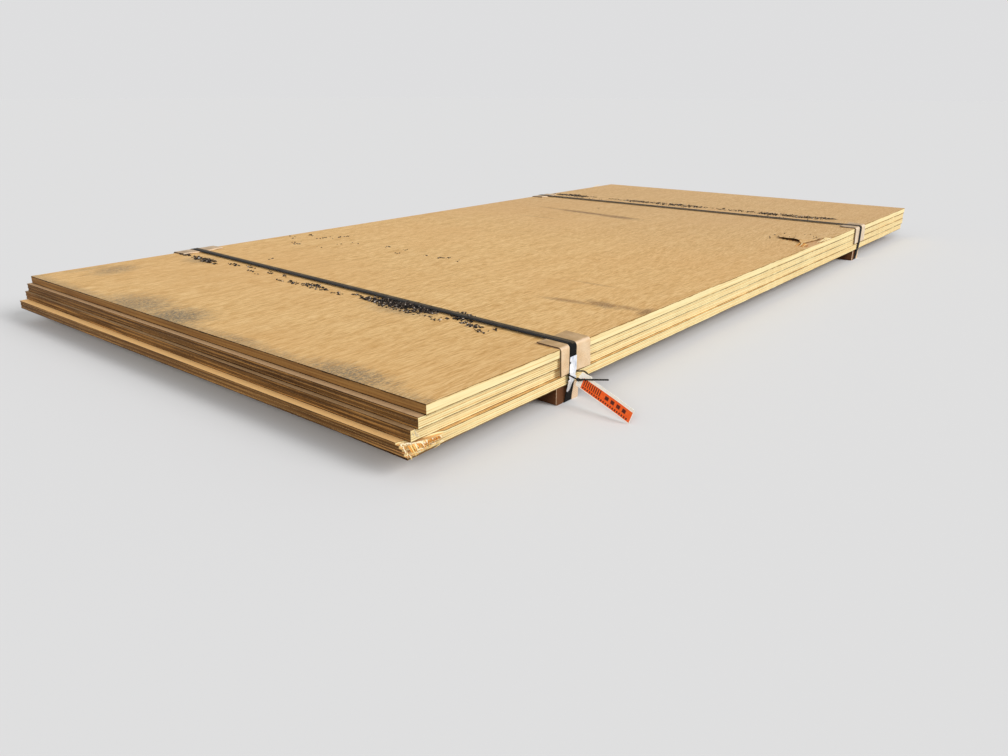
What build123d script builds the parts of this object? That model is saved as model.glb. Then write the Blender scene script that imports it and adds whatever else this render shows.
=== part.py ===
from build123d import *
import os
from dataclasses import dataclass
from math import asin, atan2, cos, degrees, hypot, radians, sin, tan

# A strapped stack of four full plywood sheets lying on two timber bearers. The top sheet has a plain
# edge, and the three below it show their plies.
# X runs along the sheets, Y across them with the tagged long side at -Y, and Z up from the floor.
# Every piece is first placed about the top sheet's centre, and main() then moves the origin to the
# middle of the bottom of the whole stack's box.

# Sheets
SHEET_LENGTH = 2438.4
SHEET_WIDTH = 1219.2
TOP_THICKNESS = 15.9
LOWER_THICKNESS = 17.2
TOP_PLIES = 1
LOWER_PLIES = 5
PLY_SETBACK = 0.5

# How far each lower sheet slid out past the one on top of it, towards -X, how far it lies off the
# top sheet's long sides, and how far it turned
SECOND_END_SLIP = 11.0
THIRD_END_SLIP = 7.0
BOTTOM_END_SLIP = 15.0
SECOND_SIDE_SHIFT = 1.0
THIRD_SIDE_SHIFT = 2.5
BOTTOM_SIDE_SHIFT = -0.5
SECOND_TURN = -0.12
THIRD_TURN = -0.32
BOTTOM_TURN = -0.17

# Places where the second sheet's top veneer is missing at the front edge: distance from the top
# sheet's near end, and length
EDGE_GAPS = [(86.0, 22.0), (560.0, 16.0), (942.0, 28.0), (1490.0, 20.0)]
EDGE_GAP_HEIGHT = 2.2
EDGE_GAP_DEPTH = 7.0

# Patch of face veneer torn off the top sheet's front edge, placed by its far end
PATCH_FROM_END = 758.0
PATCH_LENGTH = 235.0
PATCH_REACH = 126.0
PATCH_DEPTH = 1.4
# Its ragged outline, as shares of its length from the near end and of its reach from the edge
PATCH_OUTLINE = [(0.04, -0.02), (0.0, 0.20), (0.12, 0.30), (0.20, 0.27), (0.30, 0.36), (0.34, 0.62),
                 (0.40, 0.78), (0.43, 1.0), (0.48, 0.83), (0.51, 0.62), (0.57, 0.50), (0.62, 0.27),
                 (0.72, 0.22), (0.80, 0.10), (1.0, -0.02)]

# Splinter lifted from the top sheet's far back edge
SPLINTER_LENGTH = 55.0
SPLINTER_WIDTH = 4.0
SPLINTER_ROOT = 1.8
SPLINTER_RISE = 8.0
SPLINTER_FROM_END = 158.0
SPLINTER_FROM_EDGE = 1.5

# Torn near front corner of the bottom sheet, ply by ply from its top face
TEAR_ALONG = 72.0
TEAR_ACROSS = 22.0
TEAR_SHRINK = 0.66
TEAR_PLIES = 4
TEAR_TEETH = 5
TEAR_TOOTH = 5.0

# Open glue line at the same corner: the lowest two plies came away and droop there, bent along a
# line from the long side to the end
SPLIT_ALONG = 130.0
SPLIT_ACROSS = 150.0
SPLIT_DROOP = 2.3
SPLIT_PLIES = 2

# Bearers
BEARER_WIDTH = 60.0
BEARER_HEIGHT = 32.9
BEARER_ROUND = 3.0
NEAR_FRONT_INSET = 6.0
FAR_FRONT_INSET = 1.0
BACK_INSET = 8.0

# Straps, one round each bearer, seen from above at their middle
STRAP_WIDTH = 19.0
STRAP_THICKNESS = 0.8
STRAP_CLEARANCE = 0.15
NEAR_FROM_END = 369.2
NEAR_SKEW = 2.9
FAR_FROM_END = 539.2
FAR_SKEW = 0.0
GROOVE_SIDE_CLEARANCE = 2.5
GROOVE_FLOOR_CLEARANCE = 0.7

# Folded paperboard corners under the straps
BOARD_THICKNESS = 3.0
BOARD_FLAP = 46.0
BOARD_FOLD = 7.0
NEAR_FRONT_BOARD = 84.0
NEAR_FRONT_BOARD_OFFSET = 9.0
NEAR_BACK_BOARD = 110.0
FAR_BOARD = 94.0

# Paper wrap stuck on the near strap's front run
WRAP_THICKNESS = 0.35
WRAP_TOP = 82.0
WRAP_BOTTOM = 20.0
# Its torn outline, as shares of the strap's width from the left and of its height from below
WRAP_OUTLINE = [(0.0, 0.98), (1.0, 1.0), (1.0, 0.28), (0.5, 0.22), (0.4, 0.0), (0.0, 0.0),
                (0.0, 0.30), (0.21, 0.34), (0.0, 0.42), (0.0, 0.76), (0.21, 0.82), (0.0, 0.88)]

# Tag that hangs from the near strap and leans out to the floor
TAG_LENGTH = 123.0
TAG_WIDTH = 24.6
TAG_THICKNESS = 0.8
TAG_ROOT_HEIGHT = 31.3
TAG_ROOT_OUT = 7.9
TAG_ROOT_SIDE = 3.5
TAG_HEADING = 11.4
TAG_LEAN = 12.0
TAG_FLOOR_GAP = 0.6
TAG_NECK = 27.0
TAG_SHOULDER = 16.0
TAG_HEAD_HEIGHT = 29.0
TAG_ROUND = 3.0
TAG_HOLE = 2.3

# Tie that holds the tag to the strap
TIE_WIDTH = 2.5
TIE_THICKNESS = 1.0
TIE_CLEARANCE = 0.6
TIE_FRONT_CLEARANCE = 1.0
TIE_TILT = 25.0
TIE_REACH = 19.0
TIE_SIDE_REACH = 18.0
TIE_TURN = 3.0
TIE_TAPER = 2.5
TIE_BEND = 5.0
TIE_LOCK = 4.6
TIE_LOCK_HEIGHT = 4.0
TIE_LOCK_FROM_TURN = 4.0
TIE_TAIL = 56.0
TIE_TAIL_HEADING = 5.0
TIE_TAIL_RISE = 36.0

BIG = 4.0 * SHEET_WIDTH
FRONT = -1
BACK = 1


@dataclass
class Sheet:
    """One sheet: z is its lower face, and slip and side place its centre."""
    name: str
    thickness: float
    plies: int
    z: float
    slip: float
    side: float
    turn: float

    def top(self):
        return self.z + self.thickness

    def edge(self, facing, x):
        """Where the sheet's long edge lies at x, on the front or the back."""
        along = (x - self.slip) * tan(radians(self.turn))
        return self.side + along + facing * SHEET_WIDTH / 2 / cos(radians(self.turn))


@dataclass
class Binding:
    """One bearer with its strap: x at the middle, and how far the line turns from square."""
    name: str
    x: float
    skew: float
    front_inset: float

    def line_x(self, y):
        return self.x + y * tan(radians(self.skew))

    def bearer_end(self, facing):
        inset = self.front_inset if facing == FRONT else BACK_INSET
        return facing * (SHEET_WIDTH / 2 - inset)


def stacked_sheets():
    """The four sheets from the bottom up."""
    slip_second = -SECOND_END_SLIP
    slip_third = slip_second - THIRD_END_SLIP
    slip_bottom = slip_third - BOTTOM_END_SLIP
    rows = [
        ("sheet_bottom", LOWER_THICKNESS, LOWER_PLIES, slip_bottom, BOTTOM_SIDE_SHIFT, BOTTOM_TURN),
        ("sheet_third", LOWER_THICKNESS, LOWER_PLIES, slip_third, THIRD_SIDE_SHIFT, THIRD_TURN),
        ("sheet_second", LOWER_THICKNESS, LOWER_PLIES, slip_second, SECOND_SIDE_SHIFT, SECOND_TURN),
        ("sheet_top", TOP_THICKNESS, TOP_PLIES, 0.0, 0.0, 0.0),
    ]
    sheets = []
    z = BEARER_HEIGHT
    for name, thickness, plies, slip, side, turn in rows:
        sheets.append(Sheet(name, thickness, plies, z, slip, side, turn))
        z += thickness
    return sheets


def plywood(thickness, plies):
    """A sheet of cross-laid plies: every second ply is worn back a little at the sawn edges."""
    ply = thickness / plies
    board = None
    for number in range(plies):
        inset = PLY_SETBACK if number % 2 else 0.0
        layer = Box(SHEET_LENGTH - 2 * inset, SHEET_WIDTH - 2 * inset, ply,
                    align=(Align.CENTER, Align.CENTER, Align.MIN))
        layer = Pos(0, 0, number * ply) * layer
        board = layer if board is None else board + layer
    return board


def jagged_corner(along, across, tooth_along, tooth_across):
    """Plan outline of a broken corner at the origin, with teeth that follow the ply's grain."""
    points = [(-TEAR_TOOTH, -TEAR_TOOTH), (along, -TEAR_TOOTH)]
    for step in range(TEAR_TEETH + 1):
        share = step / TEAR_TEETH
        reach = 1 if step % 2 else 0
        x = along * (1 - share) + reach * tooth_along
        y = across * share + reach * tooth_across
        points.append((x, y))
    points.append((-TEAR_TOOTH, across))
    return make_face(Polyline(*points, close=True))


def torn_corner(sheet):
    """What is missing from the bottom sheet's corner: each ply broke off shorter than the one above."""
    ply = sheet.thickness / sheet.plies
    gone = None
    for number in range(TEAR_PLIES):
        share = TEAR_SHRINK ** number
        grain_along = TEAR_TOOTH * share if number % 2 == 0 else 0.0
        grain_across = 0.0 if number % 2 == 0 else TEAR_TOOTH * share / 2
        outline = jagged_corner(TEAR_ALONG * share, TEAR_ACROSS * share, grain_along, grain_across)
        piece = Pos(0, 0, sheet.thickness - (number + 1) * ply) * extrude(outline, ply)
        gone = piece if gone is None else gone + piece
    return Pos(-SHEET_LENGTH / 2, -SHEET_WIDTH / 2, 0) * gone


def drooping_corner(sheet, board):
    """The board with its lowest plies bent down at the corner, about a line from side to end."""
    level = SPLIT_PLIES * sheet.thickness / sheet.plies
    corner = Pos(-SHEET_LENGTH / 2, -SHEET_WIDTH / 2, 0)
    outline = make_face(Polyline((0, 0), (SPLIT_ALONG, 0), (0, SPLIT_ACROSS), close=True))
    wedge = corner * extrude(outline, level)
    diagonal = degrees(atan2(SPLIT_ACROSS, -SPLIT_ALONG))
    hinge = corner * Pos(SPLIT_ALONG, 0, level) * Rot(0, 0, diagonal)
    reach = SPLIT_ALONG * SPLIT_ACROSS / hypot(SPLIT_ALONG, SPLIT_ACROSS)
    bend = Rot(-degrees(asin(SPLIT_DROOP / reach)), 0, 0)
    return (board - wedge) + hinge * bend * hinge.inverse() * (board & wedge)


def edge_gaps(sheet):
    """Shallow notches where bits of the top veneer broke out of the front edge."""
    gone = None
    for from_end, length in EDGE_GAPS:
        notch = make_face(Polyline((-length / 2, 0), (0, -EDGE_GAP_HEIGHT), (length / 2, 0), close=True))
        notch = extrude(Plane.XZ * notch, EDGE_GAP_DEPTH, both=True)
        x = from_end - SHEET_LENGTH / 2 - sheet.slip
        notch = Pos(x, -SHEET_WIDTH / 2, sheet.thickness) * notch
        gone = notch if gone is None else gone + notch
    return gone


def torn_patch(sheet):
    """The ragged patch of face veneer that is missing beside the far strap."""
    near_end = SHEET_LENGTH / 2 - PATCH_FROM_END - PATCH_LENGTH
    points = [(near_end + along * PATCH_LENGTH, inward * PATCH_REACH - SHEET_WIDTH / 2)
              for along, inward in PATCH_OUTLINE]
    outline = make_face(Polyline(*points, close=True))
    return Pos(0, 0, sheet.thickness - PATCH_DEPTH) * extrude(outline, PATCH_DEPTH)


def lifted_splinter(sheet):
    """A sliver of the face veneer that stands up from the far back edge."""
    outline = make_face(Polyline((0, -SPLINTER_ROOT), (0, 0), (SPLINTER_LENGTH, SPLINTER_RISE),
                                 (SPLINTER_LENGTH / 2, SPLINTER_RISE / 2 - SPLINTER_ROOT / 2), close=True))
    sliver = extrude(Plane.XZ * outline, SPLINTER_WIDTH)
    x = SHEET_LENGTH / 2 - SPLINTER_FROM_END
    return Pos(x, SHEET_WIDTH / 2 - SPLINTER_FROM_EDGE, sheet.thickness) * sliver


def make_sheet(sheet):
    board = plywood(sheet.thickness, sheet.plies)
    if sheet.name == "sheet_bottom":
        board = drooping_corner(sheet, board - torn_corner(sheet))
    if sheet.name == "sheet_second":
        board = board - edge_gaps(sheet)
    if sheet.name == "sheet_top":
        board = board - torn_patch(sheet) + lifted_splinter(sheet)
    return Pos(sheet.slip, sheet.side, sheet.z) * Rot(0, 0, sheet.turn) * board


def make_bearer(binding):
    """A sawn batten with eased edges and a groove underneath that takes the strap."""
    profile = RectangleRounded(BEARER_WIDTH, BEARER_HEIGHT, BEARER_ROUND)
    profile = Pos(0, BEARER_HEIGHT / 2) * profile
    groove = Rectangle(STRAP_WIDTH + 2 * GROOVE_SIDE_CLEARANCE, groove_depth(),
                       align=(Align.CENTER, Align.MIN))
    front = binding.bearer_end(FRONT)
    back = binding.bearer_end(BACK)
    length = (back - front) / cos(radians(binding.skew))
    batten = extrude(Plane.XZ * (profile - groove), length / 2, both=True)
    middle = (front + back) / 2
    return Pos(binding.line_x(middle), middle, 0) * Rot(0, 0, -binding.skew) * batten


def groove_depth():
    return STRAP_THICKNESS + STRAP_CLEARANCE + GROOVE_FLOOR_CLEARANCE


def stack_top(sheets):
    return sheets[-1].top()


def board_face(sheets, facing, x, length):
    """The plane that a paperboard corner's flap leans on: the sheet that stands out furthest there."""
    lowest = stack_top(sheets) - BOARD_FLAP
    edges = [sheet.edge(facing, x + end * length / 2) for sheet in sheets
             if sheet.top() > lowest for end in (-1, 1)]
    return min(edges) if facing == FRONT else max(edges)


def make_board(sheets, facing, x, length):
    """An L of paperboard folded over the top edge, with a rounded fold."""
    face = board_face(sheets, facing, x, length)
    top = stack_top(sheets)
    outer = Rectangle(BOARD_FLAP + BOARD_THICKNESS, BOARD_FLAP + BOARD_THICKNESS, align=Align.MAX)
    inner = Rectangle(BOARD_FLAP, BOARD_FLAP, align=Align.MAX)
    ell = outer - Pos(-BOARD_THICKNESS, -BOARD_THICKNESS) * inner
    corners = ell.vertices().sort_by(Axis.X)
    fold_out = corners.group_by(Axis.X)[-1].sort_by(Axis.Y)[-1]
    ell = fillet(fold_out, BOARD_FOLD)
    section = Plane.YZ * (Pos(BOARD_THICKNESS, BOARD_THICKNESS) * ell)
    board = extrude(section, length / 2, both=True)
    if facing == FRONT:
        board = mirror(board, Plane.XZ)
    return Pos(x, face, top) * board


def taut_outline(points):
    """Convex outline round points in the plane: the line that a tight strap takes."""
    points = sorted(set(points))

    def half(ordered):
        chain = []
        for point in ordered:
            while len(chain) > 1:
                (ax, ay), (bx, by) = chain[-2], chain[-1]
                if (bx - ax) * (point[1] - ay) - (by - ay) * (point[0] - ax) > 1e-6:
                    break
                chain.pop()
            chain.append(point)
        return chain[:-1]

    return half(points) + half(list(reversed(points)))


def strap_line(binding, sheets, boards):
    """The taut line round the sheets, boards and bearer, as points in Y and Z."""
    top = stack_top(sheets) + BOARD_THICKNESS
    points = []
    for facing in (FRONT, BACK):
        x = binding.line_x(facing * SHEET_WIDTH / 2)
        for sheet in sheets:
            points += [(sheet.edge(facing, x), sheet.z), (sheet.edge(facing, x), sheet.top())]
        outside = board_face(sheets, facing, *boards[facing]) + facing * BOARD_THICKNESS
        points += [(outside, top), (outside, stack_top(sheets) - BOARD_FLAP)]
        lean = STRAP_WIDTH / 2 * tan(radians(abs(binding.skew)))
        end = binding.bearer_end(facing) + facing * lean
        points += [(end, groove_depth()), (end, BEARER_HEIGHT)]
    return taut_outline(points)


def strap_face(line):
    """The area that the strap goes round, in Y and Z, with rounds over the paperboard folds."""
    area = make_face(Polyline(*line, close=True))
    return fillet(area.vertices().group_by(Axis.Y)[-1], BOARD_FOLD)


def strap_band(binding, width):
    """Everything above and below the strap's line, as wide as the strap."""
    half = width / 2 / cos(radians(binding.skew))
    corners = [(binding.line_x(y) + side * half, y) for y, side in
               ((-BIG, -1), (-BIG, 1), (BIG, 1), (BIG, -1))]
    return extrude(make_face(Polyline(*corners, close=True)), BIG, both=True)


def strap_shell(area, inside, outside):
    """A closed band between two distances from the taut outline."""
    ring = offset(area, outside) - offset(area, inside)
    return extrude(Plane.YZ * ring, BIG, both=True)


def make_strap(binding, area):
    inside = STRAP_CLEARANCE
    return strap_shell(area, inside, inside + STRAP_THICKNESS) & strap_band(binding, STRAP_WIDTH)


def make_wrap(binding, area):
    """A thin torn wrap of paper on the outside of the strap's front run."""
    inside = STRAP_CLEARANCE + STRAP_THICKNESS
    shell = strap_shell(area, inside, inside + WRAP_THICKNESS)
    left = binding.line_x(-SHEET_WIDTH / 2) - STRAP_WIDTH / 2
    outline = make_face(Polyline(
        *[(left + across * STRAP_WIDTH, WRAP_BOTTOM + up * (WRAP_TOP - WRAP_BOTTOM))
          for across, up in WRAP_OUTLINE], close=True))
    return shell & extrude(Plane.XZ * outline, BIG)


def strap_front(line, z):
    """How far out the strap's inner face lies on the front, at height z."""
    front = [point for point in line if point[0] < 0]
    low_y, low_z = max((point for point in front if point[1] <= z), key=lambda point: point[1])
    high_y, high_z = min((point for point in front if point[1] > z), key=lambda point: point[1])
    return low_y + (high_y - low_y) * (z - low_z) / (high_z - low_z) - STRAP_CLEARANCE


def tag_plane(binding, line):
    """The plane of the tag: its root corner is the origin and X runs along it, down to the floor."""
    x = binding.line_x(-SHEET_WIDTH / 2)
    y = strap_front(line, TAG_ROOT_HEIGHT)
    root = Vector(x + TAG_ROOT_SIDE, y - STRAP_THICKNESS - TAG_ROOT_OUT, TAG_ROOT_HEIGHT)
    dip = asin((TAG_ROOT_HEIGHT - TAG_FLOOR_GAP) / TAG_LENGTH)
    heading = radians(TAG_HEADING)
    along = Vector(-sin(heading) * cos(dip), -cos(heading) * cos(dip), -sin(dip))
    side = Vector(cos(heading), -sin(heading), 0)
    up = along.cross(side)
    lean = radians(TAG_LEAN)
    normal = along.cross(up * cos(lean) + side * sin(lean))
    return Plane(origin=root, x_dir=along, z_dir=normal)


def tie_place(binding, sheets, line):
    """Where the tie's loop lies: behind the strap, in the slot under the paperboard's flap."""
    slot = (sheets[0].top() + stack_top(sheets) - BOARD_FLAP) / 2
    return Pos(binding.line_x(-SHEET_WIDTH / 2), strap_front(line, slot), slot) * Rot(TIE_TILT, 0, 0)


def tie_loop():
    """Inner outline of the loop: snug on the strap's left edge and drawn out to the front right."""
    left = -STRAP_WIDTH / 2 - TIE_CLEARANCE
    right = STRAP_WIDTH / 2 + TIE_SIDE_REACH
    front = -STRAP_THICKNESS - WRAP_THICKNESS - TIE_REACH
    return [(left, TIE_CLEARANCE), (STRAP_WIDTH / 2, TIE_CLEARANCE), (right, front / 3),
            (right - TIE_TAPER, front), (-TIE_TURN, front),
            (left, -STRAP_THICKNESS - WRAP_THICKNESS - TIE_FRONT_CLEARANCE)]


def tag_hole(binding, sheets, line):
    """The point of the tag's plane that the front of the tie's loop passes through."""
    plane = tag_plane(binding, line)
    place = tie_place(binding, sheets, line)
    right, left = [plane.to_local_coords((place * Pos(px, py, 0)).position)
                   for px, py in tie_loop()[3:5]]
    share = right.Z / (right.Z - left.Z)
    return right.X + share * (left.X - right.X), right.Y + share * (left.Y - right.Y)


def make_tag(binding, sheets, line):
    """A stiff card on edge: from the strap it leans out to the floor, and the tie goes through it."""
    outline = make_face(Polyline(
        (0, 0), (TAG_LENGTH, 0), (TAG_LENGTH, TAG_WIDTH), (TAG_NECK, TAG_WIDTH),
        (TAG_NECK - TAG_ROUND, TAG_HEAD_HEIGHT), (TAG_ROUND, TAG_HEAD_HEIGHT - TAG_ROUND),
        (0, TAG_SHOULDER), close=True))
    hole = Pos(*tag_hole(binding, sheets, line)) * Circle(TAG_HOLE)
    card = extrude(outline - hole, TAG_THICKNESS / 2, both=True)
    return tag_plane(binding, line) * card


def make_tie(binding, sheets, line):
    """A narrow locking tie: its loop holds the tag to the strap, and its tail sticks out past the tag."""
    inner = make_face(Polyline(*tie_loop(), close=True))
    inner = fillet(inner.vertices().sort_by(Axis.Y)[:3], TIE_BEND)
    band = extrude(offset(inner, TIE_THICKNESS) - inner, TIE_WIDTH / 2, both=True)
    (turn_x, turn_y), (left_x, left_y) = tie_loop()[4:]
    run = degrees(atan2(left_y - turn_y, left_x - turn_x))
    place = Pos(turn_x, turn_y, 0) * Rot(0, 0, run) * Pos(TIE_LOCK_FROM_TURN, 0, 0) * Rot(0, 0, -run)
    lock = Rot(0, 0, run) * Box(TIE_LOCK, TIE_LOCK, TIE_LOCK_HEIGHT)
    tail = Box(TIE_THICKNESS, TIE_TAIL, TIE_WIDTH, align=(Align.CENTER, Align.MAX, Align.CENTER))
    tail = Rot(-TIE_TAIL_RISE, 0, 0) * Rot(0, 0, TIE_TAIL_HEADING) * tail
    return tie_place(binding, sheets, line) * (band + place * (lock + tail))


def model():
    """Every piece by node name, placed about the top sheet's centre."""
    sheets = stacked_sheets()
    near = Binding("near", NEAR_FROM_END - SHEET_LENGTH / 2, NEAR_SKEW, NEAR_FRONT_INSET)
    far = Binding("far", SHEET_LENGTH / 2 - FAR_FROM_END, FAR_SKEW, FAR_FRONT_INSET)
    near_front_x = near.line_x(-SHEET_WIDTH / 2) + NEAR_FRONT_BOARD_OFFSET
    boards = {
        "near": {FRONT: (near_front_x, NEAR_FRONT_BOARD),
                 BACK: (near.line_x(SHEET_WIDTH / 2), NEAR_BACK_BOARD)},
        "far": {FRONT: (far.line_x(-SHEET_WIDTH / 2), FAR_BOARD),
                BACK: (far.line_x(SHEET_WIDTH / 2), FAR_BOARD)},
    }
    pieces = {sheet.name: make_sheet(sheet) for sheet in sheets}
    for binding in (near, far):
        places = boards[binding.name]
        line = strap_line(binding, sheets, places)
        area = strap_face(line)
        pieces["bearer_" + binding.name] = make_bearer(binding)
        pieces["strap_" + binding.name] = make_strap(binding, area)
        pieces["corner_board_" + binding.name + "_front"] = make_board(sheets, FRONT, *places[FRONT])
        pieces["corner_board_" + binding.name + "_back"] = make_board(sheets, BACK, *places[BACK])
        if binding is near:
            pieces["strap_wrap"] = make_wrap(binding, area)
            pieces["tag"] = make_tag(binding, sheets, line)
            pieces["tag_tie"] = make_tie(binding, sheets, line)
    return pieces


def main():
    pieces = model()
    box = Compound(children=[Compound(children=list(piece.solids())) for piece in pieces.values()])
    middle = box.bounding_box().center()
    os.makedirs("parts", exist_ok=True)
    for name, piece in pieces.items():
        placed = Pos(-middle.X, -middle.Y, 0) * piece
        export_step(placed.solid(), "parts/" + name + ".step")


main()
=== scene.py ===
import math
import random

import bmesh
import bpy
from mathutils import Matrix, Vector, noise
from mathutils.bvhtree import BVHTree


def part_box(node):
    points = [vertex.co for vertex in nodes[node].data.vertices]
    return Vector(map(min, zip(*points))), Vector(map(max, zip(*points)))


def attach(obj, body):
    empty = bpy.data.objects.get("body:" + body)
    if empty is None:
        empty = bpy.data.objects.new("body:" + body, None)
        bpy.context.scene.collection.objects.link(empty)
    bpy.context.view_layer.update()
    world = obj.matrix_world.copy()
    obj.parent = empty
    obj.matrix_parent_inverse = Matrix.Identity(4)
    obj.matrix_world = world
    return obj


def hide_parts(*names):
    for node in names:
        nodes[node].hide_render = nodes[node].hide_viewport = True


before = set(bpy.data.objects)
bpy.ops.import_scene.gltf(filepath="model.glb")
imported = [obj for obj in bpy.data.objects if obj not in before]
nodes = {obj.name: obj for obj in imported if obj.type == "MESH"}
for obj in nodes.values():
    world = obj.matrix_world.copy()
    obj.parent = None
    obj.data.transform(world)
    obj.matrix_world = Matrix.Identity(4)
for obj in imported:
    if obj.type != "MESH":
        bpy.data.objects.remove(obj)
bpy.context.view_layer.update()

# The stack's sizes and places, in millimetres about the middle of the top sheet's top face:
# X runs along the sheets, -Y is the tagged long side, and Z is up from that face.
MM = 0.001
TOP_THICKNESS = 15.9
LOWER_THICKNESS = 17.2
LOWER_PLIES = 5.0
LOWER_SHEETS = ("sheet_bottom", "sheet_third", "sheet_second")
X_AXIS, Y_AXIS, Z_AXIS = Vector((1, 0, 0)), Vector((0, 1, 0)), Vector((0, 0, 1))

top_low, top_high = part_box("sheet_top")
TOP_Z = top_low.z + TOP_THICKNESS * MM
MIDDLE = Vector(((top_low.x + top_high.x) / 2, (top_low.y + top_high.y) / 2, TOP_Z))
HALF_WIDTH = (top_high.y - top_low.y) / 2 / MM

# Where the straps cross the top sheet
NEAR_STRAP_X = -850.0
NEAR_STRAP_SKEW = math.radians(2.9)
FAR_STRAP_X = 680.0
STRAP_WIDTH = 19.0


def spot(x, y=0.0, z=0.0):
    """A place measured in millimetres about the middle of the top face, in metres in the frame."""
    return MIDDLE + Vector((x, y, z)) * MM


def near_strap_x(y):
    return NEAR_STRAP_X + y * math.tan(NEAR_STRAP_SKEW)


def srgb(red, green, blue):
    """A colour given as 0 to 255 display values, as linear light with alpha."""
    def linear(value):
        value /= 255
        return value / 12.92 if value <= 0.04045 else ((value + 0.055) / 1.055) ** 2.4
    return (linear(red), linear(green), linear(blue), 1.0)


# Node trees

class Value:
    """An output of a node, to which ordinary arithmetic adds Math nodes."""

    def __init__(self, tree, socket):
        self.tree = tree
        self.socket = socket

    def __add__(self, other):
        return self.tree.math("ADD", self, other)

    def __sub__(self, other):
        return self.tree.math("SUBTRACT", self, other)

    def __rsub__(self, other):
        return self.tree.math("SUBTRACT", other, self)

    def __mul__(self, other):
        return self.tree.math("MULTIPLY", self, other)

    def __truediv__(self, other):
        return self.tree.math("DIVIDE", self, other)

    def __rtruediv__(self, other):
        return self.tree.math("DIVIDE", other, self)


class Tree:
    """Short calls that add and wire the nodes of one node tree."""

    def __init__(self, tree):
        self.tree = tree

    def put(self, kind, inputs=None, **settings):
        """Adds a node with its settings and inputs."""
        node = self.tree.nodes.new(kind)
        for key, value in settings.items():
            setattr(node, key, value)
        for key, value in (inputs or {}).items():
            self.feed(node.inputs[key], value)
        return node

    def get(self, output, kind, inputs=None, **settings):
        """Adds a node and returns one of its outputs."""
        return Value(self, self.put(kind, inputs, **settings).outputs[output])

    def named(self, node):
        return {socket.name: Value(self, socket) for socket in node.outputs}

    def feed(self, socket, value):
        if isinstance(value, Value):
            self.tree.links.new(value.socket, socket)
        else:
            socket.default_value = value

    def math(self, operation, first, second=0.0, clamp=False):
        return self.get(0, "ShaderNodeMath", {0: first, 1: second}, operation=operation, use_clamp=clamp)

    def vector(self, operation, first, second=(0.0, 0.0, 0.0)):
        output = "Value" if operation == "LENGTH" else "Vector"
        return self.get(output, "ShaderNodeVectorMath", {0: first, 1: second}, operation=operation)

    def mix(self, factor, first, second):
        return self.get(2, "ShaderNodeMix", {0: factor, 6: first, 7: second}, data_type="RGBA")

    def coats(self, colour, *coats):
        """A colour with coats over it, each a mask and a colour."""
        for mask, coat in coats:
            colour = self.mix(mask, colour, coat)
        return colour

    def place(self, vector, location=(0, 0, 0), turn=(0, 0, 0), scale=(1, 1, 1), kind="POINT"):
        inputs = {"Vector": vector, "Location": location, "Rotation": turn, "Scale": scale}
        return self.get(0, "ShaderNodeMapping", inputs, vector_type=kind)

    def noise(self, vector, scale=1.0, detail=2.0, roughness=0.5):
        """Noise, which a scale of three numbers stretches along the axes."""
        if isinstance(scale, tuple):
            vector, scale = self.place(vector, scale=scale), 1.0
        inputs = {"Vector": vector, "Scale": scale, "Detail": detail, "Roughness": roughness}
        return self.get("Fac", "ShaderNodeTexNoise", inputs)

    def step(self, value, low, high, out_low=0.0, out_high=1.0):
        """A smooth change from one value to another as the input goes from low to high."""
        inputs = {"Value": value, "From Min": low, "From Max": high, "To Min": out_low, "To Max": out_high}
        return self.get(0, "ShaderNodeMapRange", inputs, interpolation_type="SMOOTHSTEP")

    def fall(self, value, low, high):
        """A smooth fall from one to nought."""
        return self.step(value, low, high, 1.0, 0.0)

    def ramp(self, factor, *stops):
        node = self.put("ShaderNodeValToRGB", {"Fac": factor})
        elements = node.color_ramp.elements
        while len(elements) < len(stops):
            elements.new(0.5)
        for element, (position, colour) in zip(elements, stops):
            element.position = position
            element.color = colour
        return Value(self, node.outputs["Color"])

    def split(self, vector):
        return [Value(self, part) for part in self.put("ShaderNodeSeparateXYZ", {0: vector}).outputs]

    def join(self, x=0.0, y=0.0, z=0.0):
        return self.get(0, "ShaderNodeCombineXYZ", {0: x, 1: y, 2: z})

    def attribute(self, name):
        return self.get("Fac", "ShaderNodeAttribute", attribute_name=name)

    def effect(self, group, **inputs):
        """Places a node group, with underscores in the names of its inputs for spaces."""
        inputs = {key.replace("_", " "): value for key, value in inputs.items()}
        return self.named(self.put("ShaderNodeGroup", inputs, node_tree=group))


def add_inputs(group, inputs):
    """Gives a group its named inputs, each with a default value or only the name of a kind."""
    for label, default in inputs.items():
        kind = {float: "Float", int: "Int", tuple: "Vector"}.get(type(default), default)
        socket = group.interface.new_socket(label, in_out="INPUT", socket_type="NodeSocket" + kind)
        if kind != default:
            socket.default_value = default


def effect_group(name, inputs, build):
    """A node group with these inputs, whose outputs build(tree, source) returns by name."""
    group = bpy.data.node_groups.new(name, "ShaderNodeTree")
    add_inputs(group, inputs)
    tree = Tree(group)
    made = build(tree, tree.named(tree.put("NodeGroupInput")))
    for label in made:
        group.interface.new_socket(label, in_out="OUTPUT", socket_type="NodeSocketFloat")
    tree.put("NodeGroupOutput", made)
    return group


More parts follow.
